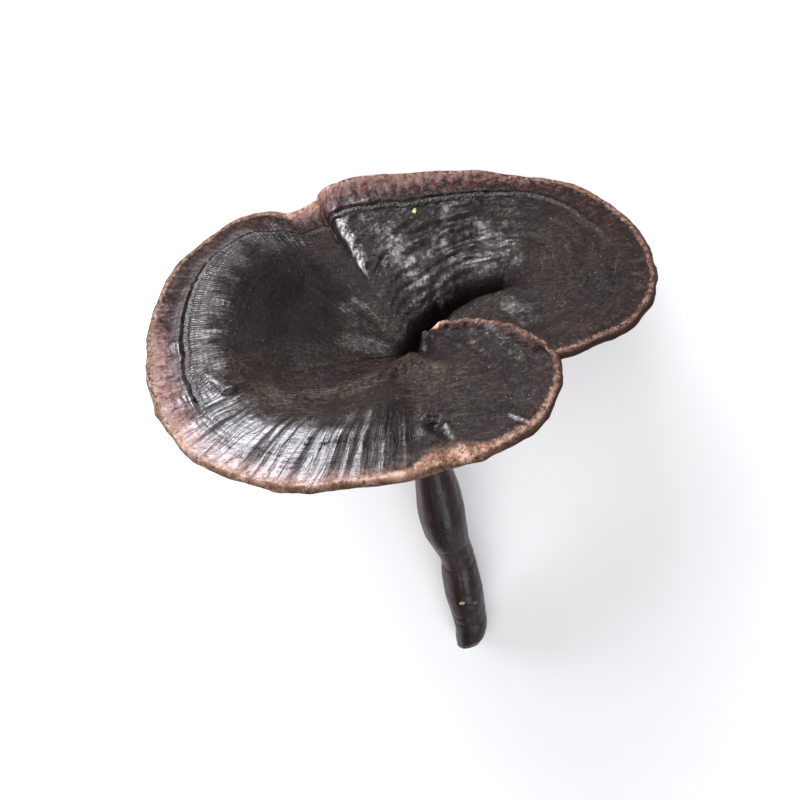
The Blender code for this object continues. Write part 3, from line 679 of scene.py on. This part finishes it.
class Finish:
    """A material in the making: one method adds any of its nodes."""

    def __init__(self, name):
        self.material = bpy.data.materials.new(name)
        self.material.use_nodes = True
        self.tree = self.material.node_tree
        self.shader = self.tree.nodes["Principled BSDF"]

    def add(self, kind, sockets=(), **settings):
        node = self.tree.nodes.new("ShaderNode" + kind)
        for name, setting in settings.items():
            setattr(node, name, setting)
        self.fill(node, sockets)
        return node

    def fill(self, node, sockets):
        """Gives a node's sockets, by name or in order, their numbers, colours or links."""
        for name, value in sockets.items() if isinstance(sockets, dict) else enumerate(sockets):
            if isinstance(value, Value):
                value = value.socket
            if isinstance(value, bpy.types.NodeSocket):
                self.tree.links.new(value, node.inputs[name])
            else:
                node.inputs[name].default_value = value

    def number(self, name):
        """A value that the mesh holds for each of its points."""
        return Value(self, self.add("Attribute", attribute_name=name).outputs["Fac"])

    def vector(self, name):
        return self.add("Attribute", attribute_name=name).outputs["Vector"]

    def part_of(self, vector, axis):
        return Value(self, self.add("SeparateXYZ", [vector]).outputs[axis])

    def place_mm(self):
        """Where a point of the surface is, in millimetres."""
        sockets = {0: self.add("TexCoord").outputs["Object"], "Scale": 1 / MM}
        return self.add("VectorMath", sockets, operation="SCALE").outputs[0]

    def lines(self, noise, width):
        """Thin lines where the noise is half way."""
        return (noise - 0.5).size().falling(0.0, width)

    def specks(self, where, per_mm, size, kept):
        """Small round specks, one in some of the cells that the surface is divided in."""
        cells = self.add("TexVoronoi", {"Vector": where, "Scale": per_mm})
        dot = Value(self, cells.outputs["Distance"]).falling(size * 0.5, size)
        return dot * self.part_of(cells.outputs["Color"], "X").rising(kept, kept + 0.1)

    def noise(self, where, stretch, detail=2.0, roughness=0.55, distortion=0.0):
        """Noise from 0 to 1, with its grains per millimetre along each axis of the vector it reads."""
        if isinstance(stretch, float):
            stretch = (stretch, stretch, stretch)
        scaled = self.add("VectorMath", [where, stretch], operation="MULTIPLY").outputs[0]
        sockets = {"Vector": scaled, "Scale": 1.0, "Detail": detail, "Roughness": roughness}
        node = self.add("TexNoise", {**sockets, "Distortion": distortion})
        return Value(self, node.outputs["Fac"])

    def near(self, where, point, radius):
        """One at a point of the growing mushroom, in millimetres, and zero past the radius."""
        laid = tuple(lying @ (Vector(point) * MM) / MM)
        away = self.add("VectorMath", [where, laid], operation="DISTANCE").outputs["Value"]
        return Value(self, away).falling(0.0, radius)

    def mix(self, factor, first, second):
        """The first colour where the factor is zero and the second where it is one."""
        node = self.add("Mix", data_type="RGBA")
        for name, value in (("Factor_Float", factor), ("A_Color", first), ("B_Color", second)):
            socket = next(s for s in node.inputs if s.identifier == name)
            if isinstance(value, Value):
                value = value.socket
            if isinstance(value, bpy.types.NodeSocket):
                self.tree.links.new(value, socket)
            else:
                socket.default_value = value if isinstance(value, float) else (*value, 1.0)
        return next(s for s in node.outputs if s.identifier == "Result_Color")

    def lacquered(self, factor, sockets):
        """Lays a second, glossier shader over the first where the factor is one."""
        gloss = self.add("BsdfPrincipled", sockets)
        both = self.add("MixShader", [factor, self.shader.outputs[0], gloss.outputs[0]])
        self.tree.links.new(both.outputs[0], self.tree.nodes["Material Output"].inputs[0])


crust_finish = Finish("cap_crust")
f = crust_finish
grown_at = f.vector("grown")
here = f.place_mm()
run_mm = f.part_of(grown_at, "Y")
inset_mm = f.part_of(grown_at, "Z")
band_mm = f.number("band")
glossy_here = f.number("glossy")
grooved_here = f.number("grooved")
furrowed_here = f.number("furrowed")
zoned_here = f.number("zoned")
full_here = f.number("fullness")

# Thin hairs lie along the rings on the right and level on the left, and some cross them or curl
ring_hairs = f.noise(grown_at, (0.035, 0.6, 0.0), detail=1.0, distortion=0.35)
level_hairs = f.noise(here, (0.04, 0.5, 0.5), detail=1.0, distortion=0.45)
crossing_hairs = f.noise(here, (0.09, 0.8, 0.8), detail=1.2, distortion=0.6)
free_hairs = f.noise(here, 0.2, detail=1.0, distortion=1.0)
short_hairs = f.noise(here, (0.2, 1.0, 1.0), detail=3.0, distortion=0.5)
combed = f.number("combed")
hair_lines = f.lines(ring_hairs, 0.022) * combed + f.lines(level_hairs, 0.018) * (1.0 - combed)
clouds = f.noise(here, 0.05, detail=4.0)
patches = f.noise(here, 0.13, detail=3.0)
fibres = hair_lines * 0.8 + f.lines(crossing_hairs, 0.03) * 0.6 + f.lines(free_hairs, 0.006) * 0.5
fibres = (fibres + f.lines(short_hairs, 0.025) * 0.35) * (0.25 + patches.rising(0.35, 0.6) * 0.75)
grit = f.noise(here, 2.2, roughness=0.7)
pebbles = f.noise(here, 0.8, detail=3.0, roughness=0.65)
specks = f.specks(here, 0.6, 0.11, 0.7)

# The dark crust, dusty in places, with painted shade down in the hollow and in the throat by the slot
DARK = (0.0024, 0.0015, 0.0013)
UMBER = (0.0098, 0.0063, 0.0050)
DUSTY = (0.042, 0.0300, 0.0250)
HAIR = (0.078, 0.057, 0.042)
SPECK = (0.30, 0.26, 0.22)
raised_here = f.number("raised")
in_shade = f.number("shaded")
dusty = clouds.rising(0.35, 0.7) * 0.5 + pebbles.rising(0.4, 0.65) * 0.5
dusty = dusty + short_hairs.rising(0.4, 0.65) * 0.35
top_colour = f.mix(dusty, DARK, UMBER)
worn_dusty = raised_here * pebbles.rising(0.4, 0.62) * patches.rising(0.3, 0.55)
top_colour = f.mix(worn_dusty * 0.6, top_colour, DUSTY)
# Fewer hairs are drawn where the crust is glossy, and fewer in the painted shade of the hollow
hairy = (1.0 - glossy_here * 0.8) * (0.4 + raised_here * 0.6 - in_shade * 0.18)
top_colour = f.mix(fibres * hairy, top_colour, HAIR)
top_colour = f.mix(specks * 0.7, top_colour, SPECK)
# Painted shade: darker near the slot and over the shaded part of the hollow
painted_shade = (run_mm.falling(3.0, 9.0) * 0.8).most(in_shade * 0.7)
top_colour = f.mix(painted_shade, top_colour, DARK)

# The reddish band, from dark red to rosy
DARK_RED = (0.0060, 0.0031, 0.0027)
RUSSET = (0.033, 0.0165, 0.0125)
CRIMSON = (0.042, 0.0090, 0.0085)
ROSY = (0.150, 0.086, 0.074)
rosy_here = f.number("rosy")
mottle = f.noise(grown_at, (0.45, 0.27, 0.0), detail=5.0, roughness=0.65)
fine_mottle = f.noise(here, 0.9, detail=4.0, roughness=0.7)
outward = 1.0 - (inset_mm / band_mm)
toward_rosy = rosy_here * (0.25 + outward * 1.1) + (mottle - 0.5) * 1.4 + (fine_mottle - 0.5) * 0.8
band_colour = f.mix(mottle.rising(0.46, 0.68), DARK_RED, RUSSET)
band_colour = f.mix(toward_rosy.rising(0.35, 1.15), band_colour, ROSY)
crimson = f.noise(grown_at, (0.34, 0.37, 0.0), detail=3.0)
band_colour = f.mix(crimson.rising(0.56, 0.63) * (0.3 + rosy_here * 0.5), band_colour, CRIMSON)
band_colour = f.mix(specks * 0.4 + fine_mottle.rising(0.6, 0.68) * 0.4, band_colour, ROSY)

# The pale edge, pitted and flecked, and browner below the lip
CREAM = (0.31, 0.205, 0.155)
TAN = (0.135, 0.066, 0.036)
BROWN = (0.042, 0.019, 0.0125)
UNDER_TAN = (0.026, 0.0145, 0.0105)
edge_mottle = f.noise(here, 0.24, detail=5.0, roughness=0.7)
flecks = f.noise(here, 0.8, detail=4.0, roughness=0.75)
pits = f.specks(here, 0.75, 0.22, 0.5)
edge_colour = f.mix(edge_mottle.rising(0.4, 0.58), TAN, CREAM)
edge_colour = f.mix(flecks.rising(0.49, 0.58) * (0.85 - grooved_here * 0.55), edge_colour, BROWN)
edge_colour = f.mix(pits * (0.75 - grooved_here * 0.4), edge_colour, DARK_RED)
edge_colour = f.mix((0.9 - rosy_here) * (1.0 - grooved_here) * 0.45, edge_colour, BROWN)
below_lip = (0.0 - inset_mm).rising(0.2, 1.5)
edge_colour = f.mix(below_lip * (1.0 - rosy_here * 0.8), edge_colour, UNDER_TAN)

# Where crust, band and edge meet, with painted shade as a dark line in the furrow between the first two
ragged = f.noise(here, 0.65, detail=3.0)
soft = 0.25 + (1.0 - furrowed_here) * 3.2
past_furrow = (band_mm - inset_mm + (ragged - 0.5) * (0.8 + soft)) / soft
on_band = past_furrow.rising(-1.0, 1.0)
edge_way = inset_mm + (ragged - 0.5) * 2.6 + (mottle - 0.5) * 3.6
pale_here = f.number("pale")
on_edge = (edge_way / pale_here).falling(0.3, 1.2)
broken = (flecks * 0.6 + edge_mottle * 0.4 + (1.2 - pale_here) * 0.1).falling(0.5, 0.6)
edge_colour = f.mix(broken * 0.85 + pale_here.rising(1.0, 3.0), RUSSET, edge_colour)
in_furrow = (band_mm - inset_mm - 0.6).size().falling(0.35, 1.0) * furrowed_here
bead_row = f.noise(grown_at, (0.5, 0.0, 0.0))
colour = f.mix(on_band, top_colour, band_colour)
colour = f.mix(on_edge, colour, edge_colour)
# Painted shade down in the furrow, beaded along it
colour = f.mix(in_furrow * (0.4 + bead_row.rising(0.38, 0.55) * 0.58), colour, DARK)

# The bare orange tip of the front lobe, a pale speck by the far margin, and the scar's brown scab
TIP_CREAM = (0.42, 0.25, 0.15)
YELLOW = (0.45, 0.33, 0.17)
SCAB = (0.19, 0.10, 0.06)
at_tip = f.near(here, STATIONS[0].edge, 5.0) + f.near(here, STATIONS[1].edge, 4.6)
tip_colour = f.mix(flecks.rising(0.5, 0.58) * 0.8, TIP_CREAM, CRIMSON)
bare_tip = (at_tip + (ragged - 0.5) * 0.8).rising(0.3, 0.5) * inset_mm.falling(1.2, 2.4)
colour = f.mix(bare_tip, colour, tip_colour)
at_speck = f.near(here, (13.4, 39.4, 3.6), 1.8)
at_scar = f.near(here, SCAR, 4.2)
colour = f.mix((at_speck + (flecks - 0.5) * 2.0).rising(0.4, 0.6), colour, YELLOW)
colour = f.mix((at_scar + (ragged - 0.5) * 1.6).rising(0.35, 0.65), colour, SCAB)

# Grooves run in from the margin across fine ripples, with painted shade down in the grooves, and beads
# with painted highlights line the furrow. All heights here are in millimetres.
BEAD_HIGHLIGHT = (0.115, 0.100, 0.100)
groove_noise = f.noise(grown_at, (0.27, 0.05, 0.0), detail=2.5, distortion=0.5)
fine_groove_noise = f.noise(grown_at, (0.8, 0.06, 0.0))
in_groove = f.lines(groove_noise, 0.05) * (0.15 + grooved_here * 0.45)
in_groove = in_groove * inset_mm.falling(16.0, 34.0) * inset_mm.rising(0.0, 3.0)
sway = f.noise(grown_at, (0.06, 0.07, 0.0))
dots = f.noise(here, 0.35)
ripple_wave = (inset_mm * 3.6 + sway * 11.0).sine()
along_mm = f.part_of(grown_at, "X")
by_teeth = (inset_mm - band_mm - 3.0).size().falling(1.0, 4.5) * zoned_here
teeth = (along_mm * 5.2 + fine_groove_noise * 9.0).sine() * by_teeth
groove_ripples = grooved_here * full_here * 0.018
zone_ripples = zoned_here * (0.055 - on_band * 0.02) * dots.rising(0.35, 0.6)
ripple = ripple_wave * inset_mm.falling(10.0, 28.0) * (groove_ripples + zone_ripples)
# Painted shade down in the grooves of the glossy crust
colour = f.mix(in_groove * glossy_here * 0.8, colour, DARK)
streak_noise = f.noise(grown_at, (0.3, 0.025, 0.0), detail=1.5)
beads = f.noise(grown_at, (1.1, 0.8, 0.0))
by_furrow = (inset_mm - band_mm - 0.8).size().falling(0.4, 1.8) * furrowed_here
# Painted highlights, pale grey, on the beads beside the furrow
colour = f.mix(beads.rising(0.53, 0.66) * by_furrow * 0.55, colour, BEAD_HIGHLIGHT)
height_mm = (
    (pebbles * 0.3 + grit * 0.05 + short_hairs * 0.12) * (1.0 - glossy_here.rising(0.0, 0.6) * 0.85)
    + fibres * 0.03
    + ripple
    + inset_mm * full_here * grooved_here * 0.025
    + teeth * 0.09
    - in_groove * 0.12
    + fine_groove_noise * glossy_here * 0.05
    + streak_noise * grooved_here * glossy_here * 0.5
    + beads * by_furrow * 1.3
)
bumps = f.add("Bump", {"Height": height_mm, "Distance": MM, "Strength": 1.0})
normal = bumps.outputs["Normal"]
f.fill(
    f.shader,
    {"Base Color": colour, "Roughness": 0.5, "Normal": normal, "Specular IOR Level": 0.06},
)

# A lacquer over part of the crust: in streaks on grooved ground, in rings on zoned ground, and in worn
# patches elsewhere
crossing = f.noise(grown_at, (0.03, 0.0, 0.35))
elsewhere = (1.0 - grooved_here) * (1.0 - zoned_here)
worn = patches - 0.5 + (fine_groove_noise - 0.5) * (0.9 - elsewhere * 0.6)
worn = worn + (pebbles - 0.5) * 0.5
streaked = (streak_noise + full_here * 0.22).rising(0.54, 0.7)
streaked = streaked * (1.0 - full_here * crossing.falling(0.4, 0.56) * 0.4)
zoning = 0.7 + ripple_wave * dots.rising(0.35, 0.6) * 0.3
zoning = zoning * (0.6 + fine_groove_noise.rising(0.4, 0.6) * 0.4) * (1.0 - teeth * 0.55)
broken_up = streaked * grooved_here + zoning * zoned_here + dots.rising(0.4, 0.6) * elsewhere * 0.7
worn = worn * glossy_here.rising(0.0, 0.35)
polished = (glossy_here + worn * 1.3).rising(0.2, 0.95) * (0.12 + broken_up * 0.88)
polished = polished + glossy_here.rising(0.7, 1.0) * elsewhere * dots.rising(0.25, 0.45) * 0.45
glints = flecks.rising(0.45, 0.7) * (0.07 - in_shade * 0.06)
shine = (polished + by_furrow * 0.3 + glints) * (1.0 - on_edge * 0.6)
shine = shine * (1.0 - in_furrow) * (1.0 - in_groove * 0.6)
shine = shine * (1.0 - grooved_here * (1.0 - full_here) * 0.55)
f.lacquered(
    shine,
    {
        "Base Color": colour,
        "Roughness": 0.13 + pebbles * 0.1,
        "Normal": normal,
        "Specular IOR Level": 0.9,
    },
)

# The underside is a layer of fine pores, dull brown and darker towards the stem. It begins a few rings
# before the rim ends.
RIM_RINGS_OF_PORES = 3
pores_finish = Finish("cap_pores")
f = pores_finish
grown_at = f.vector("grown")
here = f.place_mm()
past = 0.0 - f.part_of(grown_at, "Z")
pore_cells = f.add("TexVoronoi", {"Vector": here, "Scale": 2.6})
pore = Value(f, pore_cells.outputs["Distance"])
mottle = f.noise(here, 0.07, detail=4.0)
zones = f.noise(grown_at, (0.02, 0.0, 0.35))
PORE_BROWN = (0.20, 0.125, 0.08)
PORE_DARK = (0.085, 0.05, 0.034)
STALK_DARK = (0.02, 0.014, 0.012)
brown_dark = mottle.rising(0.3, 0.7) * 0.6 + zones.rising(0.35, 0.65) * 0.4
pores_colour = f.mix(brown_dark, PORE_BROWN, PORE_DARK)
pores_colour = f.mix(f.near(here, (0.0, 0.0, NECK_Z), 36.0), pores_colour, STALK_DARK)
pores_colour = f.mix(past.falling(3.0, 8.0), pores_colour, TAN)
pore_bumps = f.add("Bump", {"Height": pore + mottle * 0.8, "Distance": 0.2 * MM, "Strength": 0.6})
normal = pore_bumps.outputs["Normal"]
f.fill(f.shader, {"Base Color": pores_colour, "Roughness": 0.75, "Normal": normal})

cap.data.materials.append(crust_finish.material)
cap.data.materials.append(pores_finish.material)
rings_above = len(slot_floor) + len(top) + RIM_RINGS - RIM_RINGS_OF_PORES
side = np.zeros(len(cap.data.polygons), dtype=np.int32)
side[rings_above * len(place):] = 1
cap.data.polygons.foreach_set("material_index", side)
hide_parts("cap")
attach(cap, "root")


# The stem is one knotty stalk of the same tissue under a smooth dark crust, scuffed on one side, and
# cut off aslant at its lower end. It grew into the cap above it.

# Its rings from the top down: how high, the middle's place across and back, and the radius
STEM_GAP = 0.3
STEM = [
    (NECK_Z - STEM_GAP, 0, 0, NECK_RADIUS),
    (-40, -0.3, -0.8, 7.2),
    (-50, -1, -2, 6.3),
    (-60, -1.7, -3.1, 5.9),
    (-70, -2.2, -4.2, 6.1),
    (-77, -2.5, -4.9, 6.9),
    (-84, -2.8, -5.6, 7.6),
    (-92, -3.2, -6.4, 7.8),
    (-99, -3.3, -7.2, 7.2),
    (-105, -2.9, -7.8, 6.2),
    (-112, -2, -8.5, 5.7),
    (-120, -2.4, -9.3, 6.4),
    (-130, -2.9, -10.4, 6.6),
    (-140, -3.2, -11.4, 6.1),
    (-147, -3.7, -12.2, 5.7),
    (-151.5, -4.8, -12.6, 5.2),
    (-155.5, -5.9, -13, 4.2),
]
STEM_SIDES = 96
STEM_RINGS = 220
STEM_CUT_SLOPE = 0.5
# Furrows round the stem: how far down each is, and how deep
STEM_FURROWS = [(114, 0.35), (137, 0.35), (141.5, 0.3), (104, 0.15), (126, 0.12)]
STEM_FURROW_HALF_WIDTH = 0.8
STEM_FURROW_SWAY = 1.2


def soft_value(places, values, wanted):
    """The values at places, on a cubic curve through the given ones."""
    index = np.clip(np.searchsorted(places, wanted) - 1, 0, len(places) - 2)
    slopes = np.gradient(values, places)
    gap = places[index + 1] - places[index]
    u = (wanted - places[index]) / gap
    return (
        values[index] * (1 + 2 * u) * (1 - u) ** 2
        + values[index + 1] * u * u * (3 - 2 * u)
        + gap * slopes[index] * u * (1 - u) ** 2
        - gap * slopes[index + 1] * u * u * (1 - u)
    )


heights, *measures = np.array(STEM).T
down = np.linspace(-heights[0], -heights[-1], STEM_RINGS)
middle_x, middle_y, radius = [soft_value(-heights, measure, down)[:, None] for measure in measures]
turn = np.linspace(0.0, -2 * math.pi, STEM_SIDES, endpoint=False)[None]
level = down[:, None]
ways = np.cos(turn), np.sin(turn)
furrows = grain(ways[0] * 1.8, ways[1] * 1.8, level / 40.0)
furrows = furrows + 0.4 * grain(ways[0] * 5.0, ways[1] * 5.0, level / 18.0)
knots = grain(ways[0] * 1.2, ways[1] * 1.2, level / 9.0 + 40.0)
swell = 0.22 * furrows + 0.25 * knots
for furrow_level, furrow_depth in STEM_FURROWS:
    line = furrow_level + STEM_FURROW_SWAY * grain(ways[0], ways[1], furrow_level)
    beside = hump(level - line, STEM_FURROW_HALF_WIDTH)
    swell = swell - furrow_depth * beside * (0.6 + 0.6 * knots)
swell = swell * ramp(0.0, 4.0, level - down[0])
behind = (radius + swell) * ways[1]
cut_share = ramp(down[-1] - 5.0, down[-1], level)
stem_points = np.stack(
    [
        middle_x + (radius + swell) * ways[0],
        middle_y + behind,
        -level - STEM_CUT_SLOPE * behind * cut_share,
    ],
    axis=2,
)
stem = sheet_of("mushroom_stem", stem_points)
give(stem, "grown", "FLOAT_VECTOR", np.stack(np.broadcast_arrays(ways[0], ways[1], level), axis=2))
close_up(stem)
stem.data.set_sharp_from_angle(angle=math.radians(50.0))

bark_finish = Finish("stem_crust")
f = bark_finish
grown_at = f.vector("grown")
here = f.place_mm()
depth_mm = f.part_of(grown_at, "Z")
leftward = 0.0 - f.part_of(grown_at, "X")
streaks = f.noise(grown_at, (3.0, 3.0, 0.06), detail=4.0)
clouds = f.noise(here, 0.09, detail=3.0)
grit = f.noise(here, 1.1, roughness=0.7)
ragged = f.noise(here, 0.3, detail=4.0)
STEM_DARK = (0.0085, 0.0042, 0.0050)
STEM_UMBER = (0.029, 0.0165, 0.0165)
STEM_RED = (0.060, 0.024, 0.020)
SCUFFED = (0.15, 0.11, 0.085)
umber = streaks.rising(0.3, 0.7) * 0.6 + clouds.rising(0.35, 0.65) * 0.4
stem_colour = f.mix(umber, STEM_DARK, STEM_UMBER)
stem_colour = f.mix(depth_mm.rising(128.0, 150.0) * 0.6, stem_colour, STEM_DARK)
reddish = leftward.rising(0.55, 0.95) * depth_mm.rising(94.0, 118.0) * depth_mm.falling(126.0, 148.0)
stem_colour = f.mix(reddish * 0.45, stem_colour, STEM_RED)
scuffed = leftward.rising(0.75, 0.97) * depth_mm.rising(70.0, 80.0) * depth_mm.falling(96.0, 106.0)
scuffed = (scuffed + (ragged - 0.5) * 2.0).rising(0.35, 1.0)
stem_colour = f.mix(scuffed * 0.6, stem_colour, SCUFFED)
stem_colour = f.mix(grit.rising(0.7, 0.8) * 0.4, stem_colour, SPECK)

# Small pale bits cling to its lower half, one of them yellow
bits = f.specks(here, 0.3, 0.16, 0.7) * depth_mm.rising(106.0, 112.0)
bits = bits + f.near(here, (0.7, -14.0, -108.0), 1.2) + f.near(here, (0.0, -17.0, -130.0), 1.4)
stem_colour = f.mix(bits * 0.8, stem_colour, SCUFFED)
at_bit = f.near(here, (-4.7, -17.0, -128.4), 2.0)
stem_colour = f.mix((at_bit + (grit - 0.5) * 1.6).rising(0.45, 0.6), stem_colour, YELLOW)
height_mm = streaks * 0.05 + grit * 0.06 + ragged * 0.35 - scuffed * 0.15 + bits * 0.15
stem_bumps = f.add("Bump", {"Height": height_mm, "Distance": MM, "Strength": 1.0})
f.fill(
    f.shader,
    {
        "Base Color": stem_colour,
        "Roughness": 0.3 + clouds * 0.15 + scuffed * 0.3,
        "Normal": stem_bumps.outputs["Normal"],
        "Specular IOR Level": 0.25,
    },
)
stem.data.materials.append(bark_finish.material)
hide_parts("stem")
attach(stem, "root")


# The floor is a plain sheet, nearly white, just under the lowest points of the mushroom.

FLOOR_SIZE = 6.0
FLOOR_GAP = 0.0002
floor_z = cad_box[0][2] - FLOOR_GAP
bpy.ops.object.select_all(action="DESELECT")
bpy.ops.mesh.primitive_plane_add(size=FLOOR_SIZE, location=(0.0, 0.0, floor_z))
floor = bpy.context.object
floor.name = "floor"
floor_finish = Finish("floor_paper")
f = floor_finish
paper = f.noise(f.add("TexCoord").outputs["Object"], 40.0)
nearly_white = f.mix(paper, (0.87, 0.87, 0.87), (0.89, 0.89, 0.89))
f.fill(f.shader, {"Base Color": nearly_white, "Roughness": 0.9})
floor.data.materials.append(floor_finish.material)


# A broad soft light hangs over the mushroom. Two low ones, in front and to the right, face the top of
# the cap and draw its gloss, and a narrow one from the stem's side does the same for the stem.

LIT_PLACE = Vector((0.0, -0.03, 0.05))
WHITE = (1.0, 1.0, 1.0)
COOL = (0.94, 0.93, 1.0)
COOLER = (0.90, 0.92, 1.0)
SKY_STRENGTH = 0.12


def softbox(name, place, width, height, brightness, tint):
    """A flat rectangular light at a place in metres that faces the mushroom."""
    light = bpy.data.lights.new(name, "AREA")
    light.shape = "RECTANGLE"
    light.size = width
    light.size_y = height
    light.energy = brightness * width * height * math.pi
    light.color = tint
    lamp = bpy.data.objects.new(name, light)
    bpy.context.scene.collection.objects.link(lamp)
    facing = (Vector(place) - LIT_PLACE).to_track_quat("Z", "Y")
    lamp.matrix_world = Matrix.Translation(Vector(place)) @ facing.to_matrix().to_4x4()
    lamp.visible_camera = False


softbox("overhead", (0.1, 0.1, 1.5), 1.6, 1.6, 2.0, WHITE)
softbox("window", (0.15, -0.8, 0.26), 0.62, 0.5, 17.5, COOL)
softbox("side_window", (0.76, -0.35, 0.18), 0.5, 0.36, 14.0, COOL)
softbox("stem_light", (-0.34, 0.74, 0.55), 0.46, 0.1, 24.0, COOLER)
sky = bpy.data.worlds.new("studio")
bpy.context.scene.world = sky
sky.use_nodes = True
background = sky.node_tree.nodes["Background"]
background.inputs["Color"].default_value = (*WHITE, 1.0)
background.inputs["Strength"].default_value = SKY_STRENGTH


# The camera looks down on the top of the cap from in front of it, as the photograph does.

# The view as the mushroom grew, upright; the camera is then laid down with it
VIEW_ELEVATION_DEG = 45.0
PICTURE_ROLL_DEG = 15.0
CAMERA_DISTANCE = 0.720
PICTURE_MM_PER_PIXEL = 0.31
PICTURE_SIDE = 800
ORIGIN_PIXEL = (398.0, 312.0)
SENSOR_WIDTH = 36.0

elevation = math.radians(VIEW_ELEVATION_DEG)
picture_roll = math.radians(PICTURE_ROLL_DEG)
back = Vector((0.0, -math.cos(elevation), math.sin(elevation)))
level_right = Vector((1.0, 0.0, 0.0))
level_up = back.cross(level_right)
right = math.cos(picture_roll) * level_right - math.sin(picture_roll) * level_up
up = math.sin(picture_roll) * level_right + math.cos(picture_roll) * level_up
pose = Matrix((right, up, back)).transposed().to_4x4()
camera_data = bpy.data.cameras.new("camera")
camera_data.sensor_width = SENSOR_WIDTH
camera_data.lens = SENSOR_WIDTH * CAMERA_DISTANCE / (PICTURE_MM_PER_PIXEL * MM * PICTURE_SIDE)
camera_data.shift_x = (PICTURE_SIDE / 2 - ORIGIN_PIXEL[0]) / PICTURE_SIDE
camera_data.shift_y = (ORIGIN_PIXEL[1] - PICTURE_SIDE / 2) / PICTURE_SIDE
camera_data.clip_start = 0.01
camera = bpy.data.objects.new("camera", camera_data)
bpy.context.scene.collection.objects.link(camera)
camera.matrix_world = lying @ Matrix.Translation(back * CAMERA_DISTANCE) @ pose
bpy.context.scene.camera = camera
bpy.context.scene.view_settings.view_transform = "Standard"
